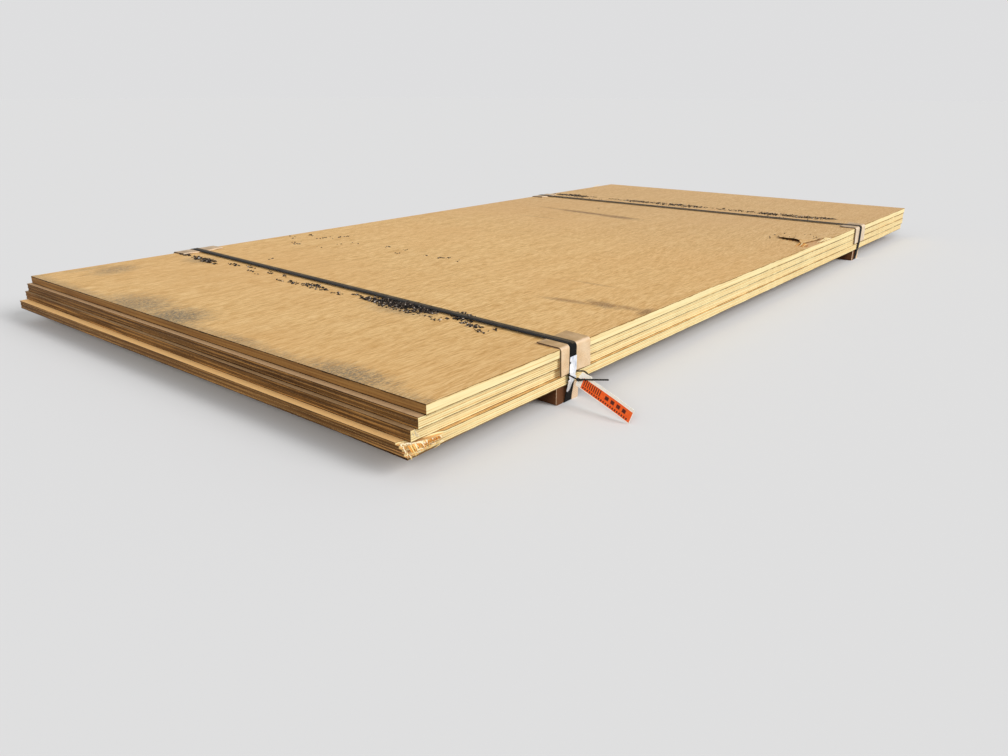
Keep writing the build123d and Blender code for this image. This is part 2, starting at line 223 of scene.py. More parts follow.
def build_veneer_figure(tree, source):
    """Rotary-cut veneer whose grain runs along X: flowing rings, streaks, a rippled sheen and pores."""
    x, y, z = tree.split(source["Vector"])
    slow = tree.noise(tree.join(x * 1.3, y * 3.0, z))
    quick = tree.noise(tree.join(x * 13.0, y * 30.0, z))
    across = y + ((slow - 0.5) * 0.10 + (quick - 0.5) * 0.010)

    def along_grain(per_metre_along, per_metre_across, detail=2.0):
        return tree.noise(tree.join(x * per_metre_along, across * per_metre_across, z), 1.0, detail, 0.6)

    rings = tree.math("SINE", along_grain(0.8, 4.0, 1.0) * 70.0)
    streaks = along_grain(2.6, 60.0, 3.0)
    ripple = along_grain(19.0, 230.0)
    fine = along_grain(40.0, 620.0)
    pores = tree.step(along_grain(50.0, 1500.0), 0.62, 0.74)
    return {"Tone": streaks * 0.14 + ripple * 0.27 + fine * 0.59 + rings * 0.008, "Pores": pores,
            "Height": ripple + fine - pores * 0.8}


def build_sawn_plies(tree, source):
    """Plies at a sawn edge, counted up from the sheet's lower face: the lines between them, every
    second ply, and painted shade for the dark slits where the sheet lies loose on the next one."""
    x, y, z = tree.split(source["Vector"])
    bottom, width = source["Bottom"], source["Line Width"]
    level = (z - bottom) / source["Thickness"]
    along = x + y
    slow = tree.noise(tree.join(along * 6.0, bottom, 0.0))
    quick = tree.noise(tree.join(along * 45.0, bottom, 7.0), 1.0, 3.0, 0.6)
    plies = level * source["Plies"] + ((slow - 0.5) * 0.4 + (quick - 0.5) * 0.10)
    share = tree.math("FRACT", plies)
    from_line = tree.math("MINIMUM", share, 1.0 - share)
    line = tree.fall(from_line, width * 0.4, width) * tree.step(quick, 0.30, 0.62, 0.35, 1.0)
    cross = tree.math("MODULO", tree.math("FLOOR", plies + 10.0), 2.0)
    rim = tree.math("MINIMUM", level, 1.0 - level)
    loose = source["Slit"] * tree.step(slow + quick * 0.4, 0.52, 0.80, 0.25, 1.0)
    return {"Line": line, "Cross": cross, "Slit": tree.fall(rim, loose * 0.5, loose)}


def build_soft_patch(tree, source):
    """An oval mark with a ragged, soft rim."""
    turn = tree.join(z=source["Turn"])
    x, y, _ = tree.split(tree.place(source["Vector"], source["Centre"], turn, source["Radii"], "TEXTURE"))
    ragged = tree.noise(source["Vector"], (45.0, 130.0, 1.0), 4.0, 0.65)
    reach = tree.vector("LENGTH", tree.join(x, y)) + (ragged - 0.5) * source["Ragged"]
    return {"Mask": tree.fall(reach, 0.15, 1.0) * source["Strength"]}


def build_grime(tree, source):
    """Blotches and specks of dust and dirt."""
    blotch = tree.step(tree.noise(source["Vector"], source["Scale"], 5.0, 0.62), 0.48, 0.72)
    speck = tree.step(tree.noise(source["Vector"], source["Scale"] * 17.0, 1.0), 0.70, 0.76)
    return {"Mask": tree.math("MULTIPLY", blotch * 0.7 + speck * 0.6, source["Amount"], clamp=True)}


VENEER_FIGURE = effect_group("veneer_figure", {"Vector": "Vector"}, build_veneer_figure)
SAWN_PLIES = effect_group("sawn_plies", {"Vector": "Vector", "Bottom": 0.0, "Thickness": 0.0175,
                                         "Plies": 5.0, "Line Width": 0.1, "Slit": 0.08}, build_sawn_plies)
SOFT_PATCH = effect_group("soft_patch", {"Vector": "Vector", "Centre": "Vector", "Radii": (1.0, 1.0, 1.0),
                                         "Turn": 0.0, "Ragged": 0.6, "Strength": 1.0}, build_soft_patch)
GRIME = effect_group("grime", {"Vector": "Vector", "Scale": 20.0, "Amount": 0.5}, build_grime)


def grime_mask(tree, where, scale, amount):
    return tree.effect(GRIME, Vector=where, Scale=scale, Amount=amount)["Mask"]


def finish_material(name, specular, build, *details):
    """A material for which build(tree, place, normal, *details) gives the colour, the roughness, and
    the bump's height and depth."""
    material = bpy.data.materials.new(name)
    material.use_nodes = True
    material.node_tree.nodes.clear()
    tree = Tree(material.node_tree)
    where = tree.get("Object", "ShaderNodeTexCoord")
    facing = tree.get("Normal", "ShaderNodeNewGeometry")
    colour, roughness, height, depth = build(tree, where, facing, *details)
    bump = tree.get(0, "ShaderNodeBump", {"Height": height, "Distance": depth})
    surface = tree.get(0, "ShaderNodeBsdfPrincipled", {"Base Color": colour, "Roughness": roughness,
                                                       "Normal": bump, "Specular IOR Level": specular})
    tree.put("ShaderNodeOutputMaterial", {"Surface": surface})
    return material


# Materials

FACE_DARK = srgb(192, 148, 86)
FACE_MID = srgb(218, 176, 115)
FACE_PALE = srgb(234, 198, 140)
FACE_WARM = srgb(213, 165, 104)
FACE_FAR = srgb(178, 146, 112)
PORE_BROWN = srgb(138, 98, 56)
EDGE_PALE = srgb(252, 236, 180)
EDGE_WARM = srgb(240, 208, 146)
EDGE_LINE = srgb(190, 144, 76)
# Painted shade for the slits between loose sheets, on the long sides
EDGE_GAP_SHADE = srgb(112, 72, 20)
END_LINE = srgb(42, 26, 8)
# Painted shade for the slits between loose sheets, on the ends
END_GAP_SHADE = srgb(40, 22, 8)
DUST_GREY = srgb(104, 100, 88)
GRIME_BROWN = srgb(88, 66, 44)
STAIN_BROWN = srgb(110, 80, 50)
SPLINTER_TONES = (srgb(252, 236, 200), srgb(232, 200, 150))

# Turns of the waves on the timber, straps and tie, in radians per metre
RING_WAVES = 1900.0
KERF_WAVES = 2400.0
WAFFLE_WAVES = 2600.0
RIB_WAVES = 5200.0

# The pale and dark tones of each sheet's end
END_TONES = {
    "sheet_top": (srgb(160, 118, 66), srgb(130, 90, 48)),
    "sheet_second": (srgb(172, 124, 68), srgb(78, 50, 22)),
    "sheet_third": (srgb(180, 132, 74), srgb(82, 53, 23)),
    "sheet_bottom": (srgb(172, 126, 72), srgb(96, 63, 29)),
}
# The pale and dark tones of bare ply in the torn places
TORN_TONES = {
    "sheet_top": (srgb(222, 180, 126), srgb(198, 150, 98)),
    "sheet_bottom": (srgb(244, 210, 148), srgb(218, 166, 104)),
}
# The colour that the exposed strip of each lower sheet's top face took on, at this strength
EXPOSED = {
    "sheet_second": srgb(182, 150, 117),
    "sheet_third": srgb(146, 116, 86),
    "sheet_bottom": srgb(240, 192, 128),
}
EXPOSED_STRENGTH = 0.80

# Dusty smudges on the top face: centre, half sizes, turn in degrees, raggedness, strength
SMUDGES = [
    ((-1200, 50), (88, 105), 4, 1.0, 1.0), ((-1196, 190), (84, 150), 0, 1.1, 0.80),
    ((-1070, 530), (84, 62), 20, 1.0, 0.60), ((-1206, -440), (52, 140), 0, 1.1, 0.85),
    ((-1212, -170), (32, 110), 0, 1.1, 0.60), ((-1100, 585), (90, 22), 0, 0.9, 0.35),
    ((-905, -230), (44, 120), 3, 1.1, 0.50), ((-884, 480), (50, 66), 3, 1.1, 0.55),
    ((775, -370), (40, 150), 0, 1.1, 0.35), ((770, 500), (34, 90), 0, 1.1, 0.30),
]
# Brown stain lines across the top face, in the same terms
STAINS = [
    ((396, 190), (26, 240), -6, 1.0, 0.85), ((380, 70), (34, 120), -5, 1.2, 0.80),
    ((402, 250), (32, 60), -6, 1.2, 0.70), ((420, 380), (10, 70), -4, 0.5, 0.45),
    ((216, 270), (9, 130), -2, 0.6, 0.30), ((514, 228), (26, 6), 35, 0.6, 0.60),
    ((344, -602), (17, 7), -10, 0.4, 1.0), ((376, -587), (42, 5), 7, 0.6, 0.9),
    ((-646, -440), (18, 90), 6, 0.8, 0.60), ((-628, -512), (30, 62), -8, 1.2, 0.75),
    ((-620, -560), (20, 60), 0, 0.8, 0.55), ((-622, -602), (40, 20), 0, 0.9, 0.80),
    ((-490, -400), (10, 85), 0, 0.8, 0.30),
]


def mark_mask(tree, where, marks):
    """The strongest of several soft patches, each placed in millimetres on the top face."""
    mask = 0.0
    for centre, (half_x, half_y), turn, ragged, strength in marks:
        patch = tree.effect(SOFT_PATCH, Vector=where, Centre=spot(*centre), Turn=math.radians(turn),
                            Radii=(half_x * MM, half_y * MM, 1.0), Ragged=ragged, Strength=strength)
        mask = tree.math("MAXIMUM", patch["Mask"], mask)
    return mask


def sheet(tree, where, facing, node, plies, shift):
    """Veneer on a sheet's faces, and its plies at the edges. shift moves the figure from sheet to sheet."""
    on_top = node == "sheet_top"
    low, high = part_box(node)
    thickness = (TOP_THICKNESS if on_top else LOWER_THICKNESS) * MM
    face_z = TOP_Z if on_top else high.z
    nx, _, nz = tree.split(facing)
    flat = tree.step(tree.math("ABSOLUTE", nz), 0.5, 0.8)
    end = tree.step(tree.math("ABSOLUTE", nx), 0.5, 0.8)
    moved = tree.place(where, shift)
    grime = grime_mask(tree, where, 9.0, 0.30)

    figure = tree.effect(VENEER_FIGURE, Vector=moved)
    warm = tree.step(tree.noise(moved, 2.2, 3.0), 0.35, 0.7, 0.0, 0.35)
    face = tree.ramp(figure["Tone"], (0.42, FACE_DARK), (0.495, FACE_MID), (0.58, FACE_PALE))
    face = tree.coats(face, (warm, FACE_WARM), (figure["Pores"] * 0.30, PORE_BROWN),
                      (grime * 0.12, DUST_GREY))

    sawn = tree.effect(SAWN_PLIES, Vector=where, Bottom=face_z - thickness, Thickness=thickness,
                       Plies=plies, Line_Width=0.15, Slit=0.105)
    streak = tree.noise(moved, (5.0, 5.0, 480.0), 3.0, 0.6)
    pricks = tree.noise(moved, 420.0)
    end_pale, end_dark = END_TONES[node]
    long_side = tree.coats(tree.ramp(streak, (0.34, EDGE_WARM), (0.52, EDGE_PALE)),
                           (sawn["Cross"] * 0.30, EDGE_WARM), (sawn["Line"] * 0.80, EDGE_LINE))
    end_side = tree.ramp(streak * 0.84 + pricks * 0.16, (0.42, end_dark), (0.58, end_pale))
    end_side = tree.coats(end_side, (sawn["Cross"] * 0.64, end_dark), (sawn["Line"] * 0.95, END_LINE))
    # The slits where the sheet lies loose on the next one get painted shade.
    edge = tree.coats(long_side, (end, end_side), (grime * tree.step(end, 0.0, 1.0, 0.45, 1.0), GRIME_BROWN),
                      (sawn["Slit"] * 0.92, tree.mix(end, EDGE_GAP_SHADE, END_GAP_SHADE)))

    x, y, z = tree.split(where)
    depth = face_z - z
    banded = tree.step(streak, 0.3, 0.7)
    if on_top:
        torn = tree.step(depth, 0.4 * MM, 0.9 * MM)
        far = tree.step(x, spot(-400).x, spot(800).x, 0.0, 0.32)
        rim = x - low.x + tree.noise(where, (60.0, 60.0, 1.0), 5.0, 0.7) * (-50 * MM)
        dusty = tree.math("MAXIMUM", tree.step(rim, -22 * MM, 8 * MM, 0.48, 0.0),
                          mark_mask(tree, where, SMUDGES))
        broken = tree.noise(where, (150.0, 330.0, 1.0), 4.0, 0.75)
        dusty = dusty * tree.step(broken, 0.42, 0.57, 0.30, 1.0)
        stained = mark_mask(tree, where, STAINS) * tree.step(broken, 0.34, 0.60, 0.45, 1.0)
        lifted = tree.step(z - TOP_Z, 0.3 * MM, 0.8 * MM) * tree.step(y, spot(0, 300).y, spot(0, 400).y)
        splinter = (lifted, tree.mix(banded, *SPLINTER_TONES))
        face = tree.coats(face, (torn, tree.mix(banded, *TORN_TONES[node])), (far, FACE_FAR),
                          (dusty, DUST_GREY), (stained, STAIN_BROWN), splinter)
        edge = tree.coats(edge, splinter)
    else:
        near_end = tree.fall(x - low.x, 0.02, 0.06)
        face = tree.mix(near_end * EXPOSED_STRENGTH, face, EXPOSED[node])
        if node in TORN_TONES:
            torn = tree.step(depth, 0.5 * MM, 1.0 * MM)
            face = tree.mix(torn, face, tree.mix(banded, *TORN_TONES[node]))
    height = tree.mix(flat, streak + pricks, figure["Height"])
    return tree.mix(flat, edge, face), figure["Tone"] * -0.25 + 0.70, height, 0.12 * MM


def rough_timber(tree, where, facing, node, strap_x, lit_arris_width):
    """Rough-sawn timber along Y, with growth rings on its ends. Each end is painted as lit, pale,
    beyond the strap and along its -X arris, and as in shadow, dark, between them, where the strap
    and what hangs on it cast shade; the sides' dark browns are partly painted shade from the sheets.
    """
    low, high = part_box(node)
    pith = Vector(((low.x + high.x) / 2 + 12 * MM, 0.0, low.z - 20 * MM))
    lengthwise = tree.place(where, turn=(0, 0, math.radians(90)), scale=(1.0, 0.6, 1.0))
    figure = tree.effect(VENEER_FIGURE, Vector=lengthwise)
    # The sides' dark browns are partly painted shade, for the shade under the sheets above.
    side = tree.ramp(figure["Tone"], (0.36, srgb(72, 40, 20)), (0.52, srgb(102, 62, 34)),
                     (0.66, srgb(132, 90, 54)))
    x, _, z = tree.split(tree.vector("SUBTRACT", where, pith))
    radius = tree.vector("LENGTH", tree.join(x, 0.0, z)) + tree.noise(where, 40.0) * 0.004
    rings = tree.step(tree.math("SINE", radius * RING_WAVES), -1.0, 1.0)
    x = tree.split(where)[0]
    # Painted light and shadow on the ends: pale as lit along the -X arris and beyond the strap's +X side,
    # dark as shaded between; the two ring pairs are lit and shaded copies of one end grain.
    lit_arris = tree.step(x - low.x, lit_arris_width * 0.6, lit_arris_width * 1.4, 0.8, 0.0)
    lit_end = tree.math("MAXIMUM", lit_arris, tree.step(x, strap_x, strap_x + 6 * MM))
    end = tree.mix(lit_end, tree.mix(rings, srgb(128, 82, 48), srgb(96, 58, 32)),
                   tree.mix(rings, srgb(252, 226, 192), srgb(226, 188, 150)))
    leaning = tree.place(where, turn=(0, math.radians(12), 0))
    saw_marks = tree.step(tree.math("SINE", tree.split(leaning)[2] * KERF_WAVES), 0.2, 1.0) * 0.5
    ends = tree.step(tree.math("ABSOLUTE", tree.split(facing)[1]), 0.5, 0.8)
    colour = tree.coats(side, (ends, end), (saw_marks * 0.25, srgb(84, 52, 28)),
                        (grime_mask(tree, where, 14.0, 0.45), srgb(62, 44, 32)))
    return colour, tree.step(rings, 0, 1, 0.7, 0.85), figure["Height"] + saw_marks, 0.5 * MM


def strapping(tree, where, facing, middle_x, skew):
    """Black plastic strapping: a waffle embossing, scuffs, and a lighter coat of dust and painted sheen on
    the far part of its top, whose near part stays black as painted shade.
    """
    x, y, z = tree.split(where)
    along = y + z
    waffle = tree.math("SINE", (along + x) * WAFFLE_WAVES) * tree.math("SINE", (along - x) * WAFFLE_WAVES)
    scuff = tree.noise(where, (500.0, 30.0, 30.0), 3.0, 0.6)
    upper = tree.step(tree.split(facing)[2], 0.6, 0.95)
    across = x - middle_x - (y - MIDDLE.y) * math.tan(skew)
    # The top's lighter coat is partly dust and partly painted sheen on the faces that look up to the light;
    # it stops short of the top's -X part, which stays black as painted shade along the strap's edge.
    dust_and_sheen = grime_mask(tree, where, 26.0, 0.8) * 0.26 + 0.16
    dust_and_sheen = dust_and_sheen * tree.step(across, -3.0 * MM, 2.5 * MM) * upper
    colour = tree.ramp(scuff, (0.40, srgb(7, 6, 5)), (0.75, srgb(19, 17, 15)))
    colour = tree.mix(dust_and_sheen, colour, srgb(166, 144, 110))
    return colour, tree.step(scuff, 0.3, 0.8, 0.52, 0.70), waffle, 0.08 * MM


def paperboard(tree, where, facing, body, worn, top):
    """Flecked paperboard: rubbed folds, a darker top, the layer lines at its cut edges, and painted shade on
    the cut edges and back where they face -X, for the dark gap where the board stands off the sheets.
    """
    layer = tree.attribute("layer")
    fleck = tree.noise(where, 900.0, 3.0, 0.7)
    cloud = tree.noise(where, 34.0, 4.0, 0.6)
    cut = tree.step(layer, 0.03, 0.10) * tree.step(layer, 0.97, 0.90)
    lines = tree.step(tree.math("FRACT", layer * 5.0), 0.25, 0.0, 0.0, 1.0) * cut
    nx, _, nz = tree.split(facing)
    # Painted shade: cut edges and the back that face -X turn dark brown, for the shadowed gap behind the
    # board.
    painted_gap_shade = tree.math("MAXIMUM", cut, tree.step(layer, 0.97, 1.0)) * tree.step(nx, -0.4, -0.8, 0.0, 0.9)
    upper = tree.mix(tree.step(cloud, 0.35, 0.75, 0.0, 0.5), top, body)
    colour = tree.coats(
        body, (tree.step(cloud, 0.36, 0.66), worn),
        (tree.step(fleck, 0.30, 0.75, 0.30, 0.0), srgb(112, 84, 64)), (lines * 0.5, srgb(110, 82, 62)),
        (tree.step(nz, 0.5, 0.95, 0.0, 0.9), upper), (tree.attribute("rubbed") * 0.55, srgb(236, 214, 190)),
        (grime_mask(tree, where, 30.0, 0.45), srgb(120, 100, 84)), (painted_gap_shade, srgb(52, 34, 20)))
    return colour, tree.step(fleck, 0.2, 0.8, 0.78, 0.95), fleck + cloud * 0.5, 0.2 * MM


def wrap_paper(tree, where, facing):
    """White paper with creases, painted bluish-grey shade in them, and smudges."""
    crease = tree.noise(where, (120.0, 120.0, 60.0), 4.0, 0.65)
    # Painted shade: the paper turns bluish grey where the crease noise is low, for the shade in its creases.
    colour = tree.ramp(crease, (0.30, srgb(206, 214, 230)), (0.54, srgb(252, 253, 255)))
    colour = tree.mix(grime_mask(tree, where, 60.0, 0.45), colour, srgb(128, 126, 128))
    return colour, tree.step(crease, 0.3, 0.7, 0.6, 0.75), crease, 0.3 * MM


# Tag print, in millimetres along the tag from its root and up from its lower edge. A row of marks has
# its range, pitch, inked share of the pitch, and heights.
TAG_LENGTH = 123.0
TAG_WIDTH = 24.6
TAG_ORANGE_FROM = 11.0
TAG_ORANGE_TO = TAG_LENGTH - 1.15
TAG_ORANGE_HEIGHTS = (1.3, 19.4)
PRINT_ROWS = [
    ((14.2, 53.4), 4.4, 0.46, (7.6, 18.6)),
    ((14.0, 118.0), 5.2, 0.55, (2.6, 5.8)),
    ((62.0, 114.0), 13.0, 0.60, (9.4, 15.6)),
]
PRINT_BLUR = 0.25


def tag_card(tree, where, facing):
    """Orange card with a pale border and plain dark bars, dashes and squares, placed by its own map."""
    u, v, _ = tree.split(tree.get("UV", "ShaderNodeUVMap", uv_map="card"))
    along = u * TAG_LENGTH
    up = v * TAG_WIDTH

    def within(value, low, high):
        return (tree.step(value, low - PRINT_BLUR, low + PRINT_BLUR)
                * tree.fall(value, high - PRINT_BLUR, high + PRINT_BLUR))

    printed = 0.0
    for span, pitch, share, heights in PRINT_ROWS:
        beat = tree.math("FRACT", (along - span[0]) / pitch)
        marks = within(beat * pitch, 0.3, 0.3 + pitch * share) * within(along, *span) * within(up, *heights)
        printed = tree.math("MAXIMUM", marks, printed)
    body = within(up, *TAG_ORANGE_HEIGHTS)
    body = body * tree.step(along, TAG_ORANGE_FROM - 0.5, TAG_ORANGE_FROM + 0.5)
    body = body * tree.fall(along, TAG_ORANGE_TO - PRINT_BLUR, TAG_ORANGE_TO + PRINT_BLUR)
    wear = tree.noise(where, 260.0, 4.0, 0.6)
    orange = tree.mix(tree.step(wear, 0.35, 0.7), srgb(255, 92, 26), srgb(255, 116, 44))
    card = tree.mix(tree.step(wear, 0.3, 0.7), srgb(252, 244, 228), srgb(255, 254, 250))
    printed = printed * tree.step(wear, 0.2, 0.5, 0.75, 0.95)
    colour = tree.coats(card, (body, orange), (printed, srgb(58, 14, 12)),
                        (grime_mask(tree, where, 70.0, 0.10), srgb(110, 80, 66)))
    return colour, tree.step(wear, 0.2, 0.8, 0.42, 0.6), wear, 0.08 * MM


def tie_nylon(tree, where, facing):
    """Black nylon with a faint ribbing."""
    ribs = tree.math("SINE", tree.split(where)[0] * RIB_WAVES)
    wear = tree.noise(where, 300.0, 3.0)
    colour = tree.ramp(wear, (0.35, srgb(9, 9, 9)), (0.75, srgb(24, 23, 22)))
    return colour, tree.step(wear, 0.3, 0.8, 0.32, 0.5), ribs, 0.05 * MM


def torn_wood(tree, where, facing):
    """Fresh torn wood: each sliver has its own tone between cream and orange."""
    hair = tree.noise(where, 700.0, 3.0, 0.6)
    colour = tree.ramp(tree.attribute("tone") * 0.8 + hair * 0.25, (0.08, srgb(158, 92, 34)),
                       (0.34, srgb(222, 150, 66)), (0.62, srgb(240, 204, 124)), (0.90, srgb(252, 240, 208)))
    return colour, tree.step(hair, 0.2, 0.8, 0.65, 0.85), hair, 0.2 * MM


def litter(tree, where, facing):
    """Dark bark and leaf crumbs, with brown, grey and nearly white ones among them."""
    grain = tree.noise(where, 900.0, 3.0, 0.6)
    colour = tree.ramp(tree.noise(where, 210.0), (0.42, srgb(14, 11, 9)), (0.54, srgb(46, 36, 28)),
                       (0.63, srgb(104, 88, 74)), (0.72, srgb(222, 216, 208)))
    return colour, tree.step(grain, 0.2, 0.8, 0.7, 0.9), grain, 0.3 * MM


# Mesh helpers

def link(name, data):
    """A new object of the scene, which stays at the origin."""
    made = bpy.data.objects.new(name, data)
    bpy.context.scene.collection.objects.link(made)
    return made


def dress(piece, material):
    piece.data.materials.clear()
    piece.data.materials.append(material)


def set_attribute(mesh, name, values, domain="POINT"):
    mesh.attributes.new(name, "FLOAT", domain).data.foreach_set("value", values)


def mark_smooth(piece, angle):
    """Smooth faces with sharp edges past an angle."""
    for face in piece.data.polygons:
        face.use_smooth = True
    piece.data.set_sharp_from_angle(angle=math.radians(angle))


def mesh_piece(name, points, faces, material):
    """A piece from points in metres and faces, with its normals turned outwards."""
    mesh = bpy.data.meshes.new(name)
    mesh.from_pydata([tuple(point) for point in points], [], faces)
    piece = link(name, mesh)
    dress(piece, material)
    work = bmesh.new()
    work.from_mesh(mesh)
    bmesh.ops.recalc_face_normals(work, faces=work.faces)
    work.to_mesh(mesh)
    work.free()
    return piece


def grid_faces(rows, columns, first=0):
    """Quads between points that are listed row by row."""
    return [(a, a + 1, a + 1 + columns, a + columns)
            for row in range(rows - 1)
            for a in range(first + row * columns, first + (row + 1) * columns - 1)]


def thin_piece(name, front, back, columns, material):
    """A closed thin piece between two grids of points."""
    count = len(front)
    rows = count // columns
    faces = grid_faces(rows, columns)
    faces += [tuple(reversed(face)) for face in grid_faces(rows, columns, count)]
    rim = [row * columns for row in range(rows)]
    rim += [(rows - 1) * columns + column for column in range(1, columns)]
    rim += [row * columns + columns - 1 for row in range(rows - 2, -1, -1)]
    rim += list(range(columns - 2, 0, -1))
    for start, end in zip(rim, rim[1:] + rim[:1]):
        faces.append((start, end, end + count, start + count))
    return mesh_piece(name, front + back, faces, material)


def finer(rows, parts=3):
    """The rows of numbers with evenly spaced ones put between them."""
    made = []
    for row, following in zip(rows, rows[1:]):
        for part in range(parts):
            made.append([a + (b - a) * (part / parts) for a, b in zip(row, following)])
    return made + [rows[-1]]


def evaluated_mesh(piece):
    """The piece's mesh as its modifier leaves it."""
    view = bpy.context.evaluated_depsgraph_get()
    return bpy.data.meshes.new_from_object(piece.evaluated_get(view), depsgraph=view)


# Pieces

def dress_cad_nodes():
    """The sheets, bearers, straps and tie keep their shapes and get their finishes."""
    dress(nodes["sheet_top"], finish_material("top_sheet_veneer", 0.10, sheet, "sheet_top", 1.0,
                                              (0.31, 0.87, 0.0)))
    for count, node in enumerate(LOWER_SHEETS):
        shift = (1.7 * (count + 1), 0.9 * (count + 1), 0.4 * count)
        dress(nodes[node], finish_material("lower_veneer_" + node, 0.10, sheet, node, LOWER_PLIES, shift))
    # The last number is the width of the strip along each bearer end's -X arris that is painted as lit.
    crossings = (("near", NEAR_STRAP_X, near_strap_x(-HALF_WIDTH), NEAR_STRAP_SKEW, 1.0 * MM),
                 ("far", FAR_STRAP_X, FAR_STRAP_X, 0.0, 6.0 * MM))
    for place, middle_x, front_x, skew, lit_arris_width in crossings:
        strap_side = spot(front_x + STRAP_WIDTH / 2).x
        bearer = "bearer_" + place
        dress(nodes[bearer], finish_material("rough_sawn_" + bearer, 0.3, rough_timber, bearer,
                                             strap_side, lit_arris_width))
        dress(nodes["strap_" + place], finish_material(place + "_strapping", 0.10, strapping,
                                                       spot(middle_x).x, skew))
    dress(nodes["tag_tie"], finish_material("black_tie_nylon", 0.3, tie_nylon))


BOARD_THICKNESS = 3.0
BOARD_FOLD = 7.0
BOARD_ROWS = 33
BOARD_HELD = STRAP_WIDTH / 2 + 2.0
FLARE_REACH = 30.0
RIPPLE, RIPPLE_REACH = 0.35, 8.0
FRAY = 0.7


def fold_profile(flap, steps=7):
    """The outside and inside lines of a folded board, from its top flap's end to its hanging end."""
    straight = (flap - BOARD_FOLD) / 6
    outside = [(-flap + straight * share, 0.0) for share in range(6)]
    for step in range(steps + 1):
        turn = math.radians(90 * step / steps)
        outside.append((-BOARD_FOLD + BOARD_FOLD * math.sin(turn), BOARD_FOLD * (math.cos(turn) - 1)))
    outside += [(0.0, -BOARD_FOLD - straight * share) for share in range(1, 7)]
    inside = [(min(out, -BOARD_THICKNESS), min(up, -BOARD_THICKNESS)) for out, up in outside]
    return outside, inside


def folded_board(node, material, strap_x, seed, flare):
    """A paperboard corner that the strap pulls tight: its free ends stand off a little."""
    low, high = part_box(node)
    corner_y, inward = (low.y, MM) if low.y < MIDDLE.y else (high.y, -MM)
    outside, inside = fold_profile((high.z - low.z) / MM)
    columns = len(outside)
    front, back = [], []
    for row in range(BOARD_ROWS):
        x = low.x + (high.x - low.x) * row / (BOARD_ROWS - 1)
        away = max(0.0, abs(x - strap_x) / MM - BOARD_HELD)
        lift = flare * min(1.0, away / FLARE_REACH)
        fray = FRAY * noise.noise(Vector((x * 160, seed, 4.0)))
        for column, lines in enumerate(zip(outside, inside)):
            share = column / (columns - 1)
            hang = lift * max(0.0, (share - 0.6) / 0.4) ** 1.6
            rise = 0.6 * lift * max(0.0, (0.4 - share) / 0.4) ** 1.8
            ripple = noise.noise(Vector((x * 60, share * 3.0, seed)))
            ripple *= RIPPLE * min(1.0, away / RIPPLE_REACH)
            for side, (out, up) in zip((front, back), lines):
                outwards = out + hang + (ripple if share > 0.5 else 0.0) + (0.0 if column else fray)
                outwards = min(outwards, out + hang + ripple)
                upwards = up + rise + (ripple if share <= 0.5 else 0.0)
                upwards += fray if column == columns - 1 else 0.0
                side.append(Vector((x, corner_y - inward * outwards, high.z + upwards * MM)))
    folds = [max(0.0, 1.0 - abs(column / (columns - 1) - 0.5) / 0.12) for column in range(columns)]
    piece = thin_piece("folded_" + node, front, back, columns, material)
    set_attribute(piece.data, "layer", [0.0] * len(front) + [1.0] * len(back))
    set_attribute(piece.data, "rubbed", folds * BOARD_ROWS + [0.0] * len(back))
    mark_smooth(piece, 40)
    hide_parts(node)
    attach(piece, "root")


def make_boards():
    kraft = finish_material("peach_paperboard", 0.2, paperboard, srgb(240, 206, 162),
                            srgb(250, 222, 184), srgb(172, 140, 98))
    pale = finish_material("pale_paperboard", 0.2, paperboard, srgb(238, 213, 181),
                           srgb(249, 231, 204), srgb(176, 150, 120))
    for node, material, strap_x, seed, flare in (
            ("corner_board_near_front", kraft, near_strap_x(-HALF_WIDTH), 1.0, 2.2),
            ("corner_board_near_back", pale, near_strap_x(HALF_WIDTH), 2.0, 2.6),
            ("corner_board_far_front", pale, FAR_STRAP_X, 3.0, 1.6),
            ("corner_board_far_back", pale, FAR_STRAP_X, 4.0, 2.0)):
        folded_board(node, material, spot(strap_x).x, seed, flare)


# The paper wrap's left and right edges from its top down: height above the floor, and distances
# from the middle of the strap, in millimetres
WRAP_EDGES = [
    (82.0, -8.6, 9.4), (79.0, -9.6, 9.8), (74.5, -9.2, 9.9), (71.5, -5.2, 9.6), (69.5, -9.0, 9.8),
    (64.0, -9.9, 9.8), (59.0, -9.3, 9.9), (56.0, -9.8, 9.2), (53.0, -8.2, 8.0), (49.5, -9.4, 9.0),
    (45.5, -9.8, 9.6), (42.5, -5.0, 9.7), (40.5, -9.2, 9.3), (36.0, -9.9, 6.4), (33.0, -9.4, 3.2),
    (29.0, -9.9, 1.8), (25.0, -9.7, 0.6), (21.5, -8.8, -2.4), (20.0, -7.0, -4.6),
]
WRAP_COLUMNS = 13
WRAP_THICKNESS = 0.22
WRAP_STAND = 0.12


